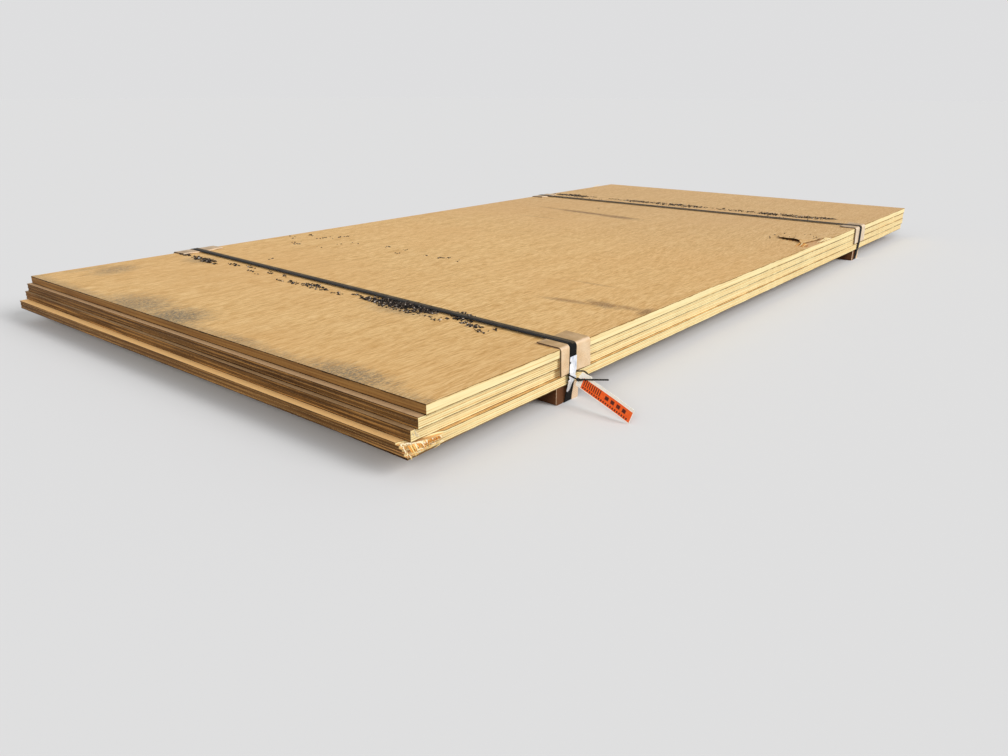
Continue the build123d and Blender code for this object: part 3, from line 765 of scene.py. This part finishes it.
def make_wrap(material):
    """A torn, creased wrap of white paper that follows the strap's front run."""
    strap = nodes["strap_near"].data
    surface = BVHTree.FromPolygons([v.co for v in strap.vertices], [list(p.vertices) for p in strap.polygons])
    low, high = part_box("strap_wrap")
    middle = (low.x + high.x) / 2
    front, back = [], []
    for z, left, right in finer(WRAP_EDGES):
        for column in range(WRAP_COLUMNS):
            share = column / (WRAP_COLUMNS - 1)
            x = middle + (left + (right - left) * share) * MM
            hit = surface.ray_cast(Vector((x, low.y - 0.05, z * MM)), Y_AXIS)[0]
            y = hit.y if hit else low.y
            rim = min(1.0, 4 * share, 4 * (1 - share))
            place = Vector((x * 260, z * 0.16, 3.0))
            crease = abs(noise.noise(place)) * 1.5 + 0.5 * abs(noise.noise(place * 2.7))
            stand = WRAP_STAND + 0.75 * crease * (0.35 + 0.65 * rim)
            front.append(Vector((x, y - (stand + WRAP_THICKNESS) * MM, z * MM)))
            back.append(Vector((x, y - 0.05 * MM - 0.6 * stand * MM, z * MM)))
    piece = thin_piece("torn_paper_wrap", front, back, WRAP_COLUMNS, material)
    mark_smooth(piece, 50)
    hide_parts("strap_wrap")
    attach(piece, "root")


TAG_THICKNESS = 0.8
TAG_BOW = 1.6
TAG_HEAD_TOP = 29.0
TAG_HEAD_END = 24.0
TAG_BORDER_FROM = 27.0
TAG_SHOULDER = 16.0
TAG_ROUNDING = 3.0
TAG_HOLE_RADIUS = 2.3
TAG_COLUMNS = 9


def tag_frame():
    """The CAD tag's own root corner, its directions (along it, up from its lower edge and out of it)
    and its hole's middle."""
    mesh = nodes["tag"].data
    merged = bmesh.new()
    merged.from_mesh(mesh)
    bmesh.ops.remove_doubles(merged, verts=merged.verts, dist=1e-6)
    flat = max(merged.faces, key=lambda face: face.calc_area()).normal.copy()
    lower_edge = next(edge for edge in sorted(merged.edges, key=lambda edge: edge.calc_length())
                      if abs(edge.calc_length() - TAG_LENGTH * MM) < 0.3 * MM
                      and abs((edge.verts[0].co - edge.verts[1].co).normalized().dot(flat)) < 0.01)
    tip, root = sorted((vert.co.copy() for vert in lower_edge.verts), key=lambda place: place.z)
    merged.free()
    along = (tip - root).normalized()
    up = flat.cross(along).normalized()
    if up.z < 0:
        up = -up
    middle = sum((vertex.co for vertex in mesh.vertices), Vector()) / len(mesh.vertices)
    root = root + flat * (middle - root).dot(flat)
    places = [((vertex.co - root).dot(along) / MM, (vertex.co - root).dot(up) / MM)
              for vertex in mesh.vertices]
    inner = [(s, w) for s, w in places if 1 < s < TAG_LENGTH - 1 and 1 < w < TAG_WIDTH - 1]
    hole = [(min(values) + max(values)) / 2 for values in zip(*inner)]
    return root, along, up, flat, hole


def punch_hole(piece, centre, axis, radius):
    """Cuts a round hole through a piece."""
    cutter = link("hole_cutter", bpy.data.meshes.new("hole_cutter"))
    work = bmesh.new()
    turn = axis.to_track_quat("Z", "Y").to_matrix().to_4x4()
    bmesh.ops.create_cone(work, cap_ends=True, segments=28, radius1=radius, radius2=radius, depth=0.012,
                          matrix=Matrix.Translation(centre) @ turn)
    work.to_mesh(cutter.data)
    work.free()
    cut = piece.modifiers.new("hole", "BOOLEAN")
    cut.operation = "DIFFERENCE"
    cut.solver = "EXACT"
    cut.object = cutter
    made = evaluated_mesh(piece)
    piece.modifiers.clear()
    piece.data = made
    bpy.data.objects.remove(cutter)


def tag_top(s):
    """The height of the tag's upper edge, from the head to the plain body."""
    if s < TAG_ROUNDING:
        return TAG_SHOULDER + (TAG_HEAD_TOP - TAG_ROUNDING - TAG_SHOULDER) * s / TAG_ROUNDING
    if s < TAG_HEAD_END:
        return TAG_HEAD_TOP - TAG_ROUNDING * (1 - (s - TAG_ROUNDING) / (TAG_HEAD_END - TAG_ROUNDING))
    share = min(1.0, (s - TAG_HEAD_END) / (TAG_BORDER_FROM - TAG_HEAD_END))
    return TAG_HEAD_TOP + (TAG_WIDTH - TAG_HEAD_TOP) * share


def make_tag(material):
    """The card, slightly bowed along its length, with a map for its print."""
    root, along, up, flat, hole = tag_frame()
    stations = [0.0, 1.0, 2.0, *range(3, 25, 3), 25.5, TAG_BORDER_FROM]
    stations += [TAG_BORDER_FROM + (TAG_LENGTH - TAG_BORDER_FROM) * step / 30 for step in range(1, 31)]
    front, back, card_map = [], [], []
    for s in stations:
        top = tag_top(s)
        bow = TAG_BOW * math.sin(math.pi * max(0.0, (s - TAG_HEAD_END) / (TAG_LENGTH - TAG_HEAD_END)))
        for column in range(TAG_COLUMNS):
            w = top * column / (TAG_COLUMNS - 1)
            curl = bow * (0.6 + 0.4 * w / TAG_WIDTH)
            place = root + (along * s + up * w) * MM
            front.append(place + flat * (curl + TAG_THICKNESS / 2) * MM)
            back.append(place + flat * (curl - TAG_THICKNESS / 2) * MM)
            card_map.append((s / TAG_LENGTH, w / TAG_WIDTH))
    piece = thin_piece("hanging_tag", front, back, TAG_COLUMNS, material)
    layer = piece.data.uv_layers.new(name="card")
    for loop in piece.data.loops:
        layer.data[loop.index].uv = card_map[loop.vertex_index % len(card_map)]
    punch_hole(piece, root + (along * hole[0] + up * hole[1]) * MM, flat, TAG_HOLE_RADIUS * MM)
    mark_smooth(piece, 40)
    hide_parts("tag")
    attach(piece, "root")


class Slivers:
    """Collects tapering slivers of wood into one mesh, each with a tone of its own."""

    STATIONS = 6

    def __init__(self, seed):
        self.points, self.faces, self.tones = [], [], []
        self.random = random.Random(seed)

    def add(self, start, heading, side, length, width, thickness, bow, tone):
        """One sliver from start, in metres, bowed towards the heading's normal; sizes in millimetres."""
        heading = Vector(heading).normalized()
        side = (side - heading * side.dot(heading)).normalized()
        lift = heading.cross(side).normalized()
        first = len(self.points)
        last = first + self.STATIONS * 4
        skew = self.random.uniform(-0.35, 0.35)
        for station in range(self.STATIONS + 1):
            share = station / self.STATIONS
            half = width / 2 * (1 - share ** 1.6) * (0.8 + 0.4 * self.random.random()) + 0.05
            deep = thickness * (1 - 0.6 * share)
            middle = start + (heading * (length * share) + lift * (bow * share * share)
                              + side * (skew * length * 0.12 * share)) * MM
            for across, down in ((-half, 0), (half, 0), (half * 0.8, -deep), (-half * 0.8, -deep)):
                self.points.append(middle + (side * across + lift * down) * MM)
                self.tones.append(tone)
        for ring in range(first, last, 4):
            for corner in range(4):
                a, b = ring + corner, ring + (corner + 1) % 4
                self.faces.append((a, b, b + 4, a + 4))
        self.faces.append((first + 3, first + 2, first + 1, first))
        self.faces.append((last, last + 1, last + 2, last + 3))

    def finish(self, name, material):
        piece = mesh_piece(name, self.points, self.faces, material)
        set_attribute(piece.data, "tone", self.tones)
        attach(piece, "root")


STRIP_TONES = (0.30, 0.62, 0.40, 0.75, 0.25, 0.5)


def torn_corner_fibres(material):
    """Fibres that bridge the bottom sheet's torn corner, from the upper plies down to the lower ones."""
    low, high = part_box("sheet_bottom")
    slivers = Slivers(11)
    draw, vary = slivers.random, slivers.random.uniform

    def start(x, y, z):
        """A place measured in millimetres from the sheet's upper corner."""
        return Vector((low.x + x * MM, low.y + y * MM, high.z + z * MM))

    # Broad strips, side by side, that hang from the broken top ply near the corner
    for count in range(9):
        slivers.add(start(6 + 3.4 * count, 11 - 0.9 * count, -vary(0.6, 1.6)),
                    (vary(-0.25, 0.05), -1.0, vary(-1.3, -0.9)), X_AXIS, (16 - 0.7 * count) * vary(0.85, 1.1),
                    3.0, 0.8, vary(-0.8, 0.8), STRIP_TONES[count % len(STRIP_TONES)])
    # Small orange bits that thin out along the broken ply
    for _ in range(40):
        share = draw.random()
        slivers.add(start(22 + 36 * share, 6 - 5 * share + vary(-1.0, 1.0), -vary(0.4, 2.6)),
                    (vary(-0.9, 0.3), -1.0, vary(-0.7, -0.1)), X_AXIS, (9 - 4 * share) * vary(0.6, 1.1),
                    vary(1.2, 2.6), 0.6, vary(-0.8, 0.8), draw.choice((0.05, 0.2, 0.35, 0.9)))
    # A pale curly rim round the broken top ply and down the end
    for count in range(30):
        share = count / 29
        place = start(2 + 24 * share + vary(-1.5, 1.5), 21 - 17 * share + vary(-2.5, 2.5), vary(-1.4, 0.2))
        slivers.add(place, (vary(0.2, 1.0), vary(-1.0, -0.3), vary(-0.5, 0.1)), Z_AXIS, vary(4, 8),
                    vary(1.0, 1.8), 0.6, vary(-1, 1), vary(0.85, 1.0))
    for count in range(16):
        share = count / 15
        slivers.add(start(vary(0.5, 4.0), 20 - 15 * share + vary(-2.0, 2.0), -(1 + 13 * share)),
                    (vary(-0.3, 0.9), -0.6, -1.0), X_AXIS, vary(3, 6),
                    vary(1.0, 1.7), 0.6, vary(-1.2, 1.2), draw.choice((0.3, 0.7, 0.9, 1.0)))
    # Fine splits along the lower plies
    for _ in range(20):
        share = draw.random()
        slivers.add(start(8 + 60 * share, vary(0.2, 1.0), -vary(6, 13)),
                    (draw.choice((-1, 1)), vary(-0.10, 0.02), vary(-0.12, 0.12)), Z_AXIS, vary(7, 16),
                    vary(0.6, 1.3), 0.5, vary(-0.6, 0.6), vary(0.45, 1.0))
    # Splinters that stand at the corner of the sheet above
    third_low, third_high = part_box("sheet_third")
    for dx, dy, lean, length in ((0.6, 3.0, 0.05, 13.0), (2.2, 1.6, 0.12, 8.0), (0.4, 9.0, -0.2, 6.0)):
        slivers.add(Vector((third_low.x + dx * MM, third_low.y + dy * MM, third_high.z - 6.0 * MM)),
                    (-0.25, lean, 1.0), Y_AXIS, length, 3.0, 0.7, 0.6, 0.9)
    slivers.finish("torn_corner_fibres", material)


def torn_patch_splinters(material):
    """Orange slivers at the open end of the torn patch, and pale chips along the front edge beside it."""
    slivers = Slivers(23)
    draw, vary = slivers.random, slivers.random.uniform
    for x, y, length, width, tone in ((292, -569, 76, 4.2, 0.35), (282, -576, 62, 3.6, 0.75),
                                      (276, -583, 56, 4.0, 0.25), (268, -590, 48, 3.4, 0.55),
                                      (262, -597, 36, 3.2, 0.05)):
        slivers.add(spot(x, y, 1.3), (-1.0, -0.16, 0.0), Y_AXIS, length, width, 0.9, 0.6, tone)
    for _ in range(34):
        share = draw.random()
        y = -608 + 10 * (1 - share) * draw.random()
        heading = (draw.choice((-1, 1)), vary(-0.12, 0.12), vary(-0.02, 0.06))
        slivers.add(spot(342 + 66 * share, y, vary(-1.0, 0.3)), heading, Y_AXIS, vary(10, 26),
                    vary(0.9, 2.2), 0.6, vary(-0.2, 1.0), vary(0.7, 1.0))
    for _ in range(24):
        share = draw.random()
        slivers.add(spot(238 + 110 * share, -580 + 75 * share + vary(-5, 5), -1.3),
                    (vary(-0.6, 0.2), -1.0, 0.0), X_AXIS, vary(5, 12),
                    vary(0.8, 1.8), 0.5, vary(0.0, 0.8), vary(0.05, 0.4))
    for x, y, length, width in ((420, -595, 80, 6.5), (419, -601, 92, 6.0), (412, -606, 66, 5.0)):
        slivers.add(spot(x, y, -0.4), (-1.0, -0.06, 0.0), Y_AXIS, length, width, 0.5, -2.2, 0.72)
    slivers.finish("torn_patch_splinters", material)


# The lifted flap of face veneer, row by row: x and y at its raised near side and at its hinge
FLAP_ROWS = [
    (326, -486, 348, -500), (318, -500, 358, -520), (311, -520, 366, -540), (305, -540, 376, -560),
    (300, -556, 388, -574), (284, -568, 400, -584), (262, -578, 410, -592),
]
FLAP_LIFT = 7.0
FLAP_JAG = 11.0
FLAP_FRONT, FLAP_BACK = 0.15, -1.0
FLAP_COLUMNS = 9


def lifted_flap(material):
    """The piece of face veneer that stands up over the torn patch, highest at its near side."""
    front, back = [], []
    rows = finer(FLAP_ROWS)
    for number, (near_x, near_y, hinge_x, hinge_y) in enumerate(rows):
        fall = math.sin(math.pi * min(1.0, 0.05 + (number / (len(rows) - 1)) ** 1.5))
        jag = FLAP_JAG * noise.noise(Vector((number * 1.7, 5.0, 1.0)))
        for column in range(FLAP_COLUMNS):
            share = column / (FLAP_COLUMNS - 1)
            x = near_x + (hinge_x - near_x) * share + jag * (1 - share) ** 2
            y = near_y + (hinge_y - near_y) * share
            lift = FLAP_LIFT * (0.35 + 0.65 * fall) * (1 - share) ** 1.4
            lift += 0.4 * noise.noise(Vector((x * 0.08, y * 0.08, 2.0)))
            front.append(spot(x, y, lift + FLAP_FRONT))
            back.append(spot(x, y, lift + FLAP_BACK))
    piece = thin_piece("lifted_veneer_flap", front, back, FLAP_COLUMNS, material)
    mark_smooth(piece, 50)
    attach(piece, "root")


# Crumb bands along the near strap: start (y, distance from the strap's near edge) and end, the band's
# width, crumbs per square metre, and how high the heap is
NEAR_CRUMB_BANDS = [
    ((602, -37), (549, -41), 14, 60000, 3), ((534, -40), (412, -45), 30, 60000, 4),
    ((396, -20), (336, -26), 14, 26000, 2), ((333, -9), (290, -15), 12, 24000, 2),
    ((298, -36), (265, -36), 10, 26000, 1), ((250, -9), (214, -19), 9, 24000, 1),
    ((246, -40), (230, -46), 10, 24000, 1), ((186, -8), (164, -16), 9, 26000, 1),
    ((161, -38), (129, -48), 11, 30000, 2), ((128, -35), (79, -41), 16, 36000, 2),
    ((89, -26), (0, -31), 24, 44000, 2), ((-25, -32), (-60, -34), 13, 36000, 2),
    ((-71, -14), (-103, -19), 11, 36000, 1), ((-104, -24), (-190, -20), 24, 85000, 4),
    ((-140, -8), (-320, -4), 36, 140000, 6), ((-170, -32), (-300, -30), 22, 40000, 2),
    ((-180, 14), (-300, 16), 12, 40000, 5), ((-308, -29), (-350, -38), 13, 36000, 2),
    ((-330, -20), (-360, -26), 12, 26000, 1), ((-335, 2), (-395, -7), 20, 70000, 4),
    ((-325, 28), (-395, 14), 16, 80000, 5), ((-384, -18), (-438, -17), 18, 60000, 3),
    ((-425, -30), (-458, -38), 12, 36000, 2), ((-450, -24), (-458, -26), 8, 40000, 1),
    ((-452, -8), (-468, -14), 8, 60000, 3),
]
# Crumb zones elsewhere on the top: from and to along X, from and to along Y, crowding and height
FIELD_CRUMB_ZONES = [
    (745, 790, 575, 430, 34000, 4), (752, 788, 345, 250, 9000, 2), (750, 790, 245, 120, 14000, 3),
    (752, 792, 110, -58, 22000, 4), (765, 800, -112, -122, 24000, 3), (755, 780, -208, -218, 24000, 3),
    (752, 784, -252, -332, 34000, 4), (750, 780, -340, -392, 34000, 4), (756, 786, -398, -452, 34000, 4),
    (766, 800, -455, -505, 36000, 4), (-620, -430, 610, 370, 320, 1), (695, 760, -560, 560, 500, 1),
    (738, 800, 250, -60, 9000, 2), (742, 802, -110, -510, 9000, 2), (740, 790, 590, 400, 9000, 2),
    (270, 440, -470, -590, 1300, 1),
]
# Middles of the small groups of crumbs that lie loose on the top
LOOSE_CRUMBS = [(-550, 554), (-486, 567), (-491, 494), (-454, 475), (-435, 466), (-598, 477), (-473, 256),
                (-516, 177), (-472, 189), (-497, 93), (-496, 52), (-484, 36), (-493, -11), (-766, 359)]
CRUMB_SEED = 7
ZONE_SIDES = 14
ZONE_MARGIN = 5 * MM
ZONE_LIFT = 0.5
HEAP_LAYER = 1.5
HEAP_STEP = 1.6
HEAP_TAPER = 0.18
LOOSE_HALF = 8 * MM
LOOSE_CROWD = 16000


def crumb_tree(material):
    """Geometry Nodes that scatter crumbs over the zone faces, by the crowding each face holds."""
    group = bpy.data.node_groups.new("scattered_crumbs", "GeometryNodeTree")
    add_inputs(group, {"Geometry": "Geometry", "Crowding Factor": 2.1, "Crumb Length": 0.0056,
                       "Crumb Width": 0.0032, "Crumb Thickness": 0.0020, "Crumple": 0.0018,
                       "Clump Size": 0.028, "Bare Share": 0.66, "Clump Blur": 0.42, "Seed": 3})
    group.interface.new_socket("Geometry", in_out="OUTPUT", socket_type="NodeSocketGeometry")
    tree = Tree(group)
    source = tree.named(tree.put("NodeGroupInput"))
    seed = source["Seed"]

    def draw(low, high, seed):
        return tree.get(1, "FunctionNodeRandomValue", {2: low, 3: high, "Seed": seed}, data_type="FLOAT")

    crowd = tree.get("Attribute", "GeometryNodeInputNamedAttribute", {"Name": "crowding"},
                     data_type="FLOAT")
    points = tree.get(0, "GeometryNodeDistributePointsOnFaces", {
        "Mesh": source["Geometry"], "Density": crowd * source["Crowding Factor"], "Seed": seed})
    where = tree.get(0, "GeometryNodeInputPosition")
    clumps = tree.noise(where, 1.0 / source["Clump Size"]) + draw(0.0, source["Clump Blur"], seed + 5.0)
    bare = tree.math("LESS_THAN", clumps, source["Bare Share"])
    kept = tree.get(0, "GeometryNodeDeleteGeometry", {"Geometry": points, "Selection": bare},
                    domain="POINT")
    ball = tree.get(0, "GeometryNodeMeshIcoSphere", {"Radius": 0.5, "Subdivisions": 1})
    size = tree.join(source["Crumb Length"], source["Crumb Width"], source["Crumb Thickness"])
    crumb = tree.get(0, "GeometryNodeTransform", {"Geometry": ball, "Scale": size})
    spin = tree.get(0, "FunctionNodeRandomValue", {"Min": (-0.5, -0.5, 0.0), "Max": (0.5, 0.5, 6.283),
                    "Seed": seed}, data_type="FLOAT_VECTOR")
    placed = tree.get(0, "GeometryNodeInstanceOnPoints", {
        "Points": kept, "Instance": crumb, "Rotation": spin, "Scale": draw(0.4, 1.45, seed)})
    real = tree.get(0, "GeometryNodeRealizeInstances", {"Geometry": placed})
    shake = tree.get("Color", "ShaderNodeTexNoise", {"Vector": where, "Scale": 260.0, "Detail": 1.0})
    offset = tree.get(0, "ShaderNodeVectorMath", {0: tree.vector("SUBTRACT", shake, (0.5, 0.5, 0.5)),
                      "Scale": source["Crumple"]}, operation="SCALE")
    moved = tree.get(0, "GeometryNodeSetPosition", {"Geometry": real, "Offset": offset})
    painted = tree.get(0, "GeometryNodeSetMaterial", {"Geometry": moved, "Material": material})
    tree.put("NodeGroupOutput", {0: painted})
    return group


def crumb_zone_mesh():
    """Ragged ovals over the top, stacked a little above each other where crumbs lie in heaps."""
    corners, faces, crowding = [], [], []
    vary = random.Random(5).uniform

    def zone(middle, half_along, half_across, crowd, height):
        layers = max(1, int(height / HEAP_STEP))
        for layer in range(layers):
            rise = Z_AXIS * ((ZONE_LIFT + HEAP_LAYER * layer) * MM)
            faces.append(tuple(range(len(corners), len(corners) + ZONE_SIDES)))
            for side in range(ZONE_SIDES):
                turn = math.tau * side / ZONE_SIDES
                ragged = vary(0.85, 1.3) * (1 - HEAP_TAPER * layer)
                corner = middle + rise + (half_along * math.cos(turn) + half_across * math.sin(turn)) * ragged
                corner.y = min(max(corner.y, top_low.y + ZONE_MARGIN), top_high.y - ZONE_MARGIN)
                corners.append(corner)
            crowding.append(crowd / layers)

    for *ends, width, crowd, height in NEAR_CRUMB_BANDS:
        start, end = [spot(near_strap_x(y) - STRAP_WIDTH / 2 + beside, y) for y, beside in ends]
        zone((start + end) / 2, (end - start) / 2, X_AXIS * (width / 2 * MM), crowd, height)
    for x_from, x_to, y_from, y_to, crowd, height in FIELD_CRUMB_ZONES:
        zone(spot((x_from + x_to) / 2, (y_from + y_to) / 2), X_AXIS * ((x_to - x_from) / 2 * MM),
             Y_AXIS * ((y_to - y_from) / 2 * MM), crowd, height)
    for x, y in LOOSE_CRUMBS:
        zone(spot(x, y), X_AXIS * LOOSE_HALF, Y_AXIS * LOOSE_HALF, LOOSE_CROWD, 1)
    mesh = bpy.data.meshes.new("crumb_zones")
    mesh.from_pydata([tuple(corner) for corner in corners], [], faces)
    set_attribute(mesh, "crowding", crowding, "FACE")
    return mesh


def scatter_crumbs(material):
    """The dark crumbs that lie along the straps, as one plain mesh."""
    zones = link("crumb_zones", crumb_zone_mesh())
    scatter = zones.modifiers.new("scatter", "NODES")
    scatter.node_group = crumb_tree(material)
    inputs = {item.name: item.identifier for item in scatter.node_group.interface.items_tree
              if item.in_out == "INPUT"}
    scatter[inputs["Seed"]] = CRUMB_SEED
    made = evaluated_mesh(zones)
    bpy.data.objects.remove(zones)
    crumbs = link("dark_crumbs", made)
    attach(crumbs, "root")


# Stage, light and camera

CAMERA_FROM = (-1909.9, -1297.7, 386.3)
CAMERA_YAW = math.radians(51.132)
CAMERA_PITCH = math.radians(19.81)
CAMERA_ROLL = math.radians(0.12)
FOCAL_PIXELS = 793.39
IMAGE_WIDTH = 1008
SENSOR_WIDTH = 36.0
FLOOR_REACH = 60.0
# Where each sun's light comes from, and its strength
SUNS = {"key_light": ((0.15, -0.55, 0.35), 2.1), "fill_light": ((-0.36, -0.16, 0.20), 1.4)}
SUN_SPREAD = math.radians(30)
ROOM_LIGHT = 0.45
# How bright the floor and the room behind it show, which is the same, so that no horizon shows
BACKDROP_SHADE = 0.74


def set_camera():
    """The photograph's viewpoint, worked out from the top sheet's four edges."""
    lens = bpy.data.cameras.new("photo_view")
    lens.sensor_width = SENSOR_WIDTH
    lens.lens = FOCAL_PIXELS / IMAGE_WIDTH * SENSOR_WIDTH
    lens.clip_start = 0.01
    camera = link("photo_view", lens)
    turn = (Matrix.Rotation(-CAMERA_YAW, 4, "Z") @ Matrix.Rotation(math.pi / 2 - CAMERA_PITCH, 4, "X")
            @ Matrix.Rotation(CAMERA_ROLL, 4, "Z"))
    camera.matrix_world = Matrix.Translation(spot(*CAMERA_FROM)) @ turn
    bpy.context.scene.camera = camera


def add_sun(name, comes_from, strength):
    """A wide soft sun, so that the light is the same all over the floor."""
    lamp = bpy.data.lights.new(name, "SUN")
    lamp.energy = strength
    lamp.angle = SUN_SPREAD
    holder = link(name, lamp)
    holder.rotation_mode = "QUATERNION"
    holder.rotation_quaternion = (-Vector(comes_from)).to_track_quat("-Z", "Y")


def seen_directly(tree):
    """One for rays from the camera and for what gloss mirrors, and nought for light that falls on things."""
    path = tree.named(tree.put("ShaderNodeLightPath"))
    return tree.math("MAXIMUM", path["Is Camera Ray"], path["Is Glossy Ray"])


def set_light():
    for name, (comes_from, strength) in SUNS.items():
        add_sun(name, comes_from, strength)
    world = bpy.data.worlds.new("pale_room")
    bpy.context.scene.world = world
    world.use_nodes = True
    world.node_tree.nodes.clear()
    tree = Tree(world.node_tree)
    strength = tree.step(seen_directly(tree), 0.0, 1.0, ROOM_LIGHT, BACKDROP_SHADE)
    shade = tree.get(0, "ShaderNodeBackground", {"Color": (0.99, 0.99, 1.0, 1.0), "Strength": strength})
    tree.put("ShaderNodeOutputWorld", {"Surface": shade})


def set_floor():
    """A plain pale floor."""
    mesh = bpy.data.meshes.new("floor")
    corners = [(x * FLOOR_REACH, y * FLOOR_REACH, 0) for x, y in ((-1, -1), (1, -1), (1, 1), (-1, 1))]
    mesh.from_pydata(corners, [], [(0, 1, 2, 3)])
    material = bpy.data.materials.new("pale_floor")
    material.use_nodes = True
    tree = Tree(material.node_tree)
    surface = material.node_tree.nodes["Principled BSDF"].inputs
    shade = (BACKDROP_SHADE, BACKDROP_SHADE, BACKDROP_SHADE, 1)
    tree.feed(surface["Base Color"], tree.mix(seen_directly(tree), (0.25, 0.24, 0.23, 1), shade))
    tree.feed(surface["Roughness"], 0.9)
    tree.feed(surface["Specular IOR Level"], 0.0)
    mesh.materials.append(material)
    floor = link("floor", mesh)


def main():
    dress_cad_nodes()
    make_boards()
    make_wrap(finish_material("white_wrap_paper", 0.4, wrap_paper))
    make_tag(finish_material("orange_tag_card", 0.4, tag_card))
    fibres = finish_material("torn_fibres", 0.25, torn_wood)
    torn_corner_fibres(fibres)
    torn_patch_splinters(fibres)
    lifted_flap(nodes["sheet_top"].data.materials[0])
    scatter_crumbs(finish_material("dark_crumbs", 0.2, litter))
    set_floor()
    set_light()
    set_camera()
    bpy.context.scene.view_settings.view_transform = "Standard"


main()
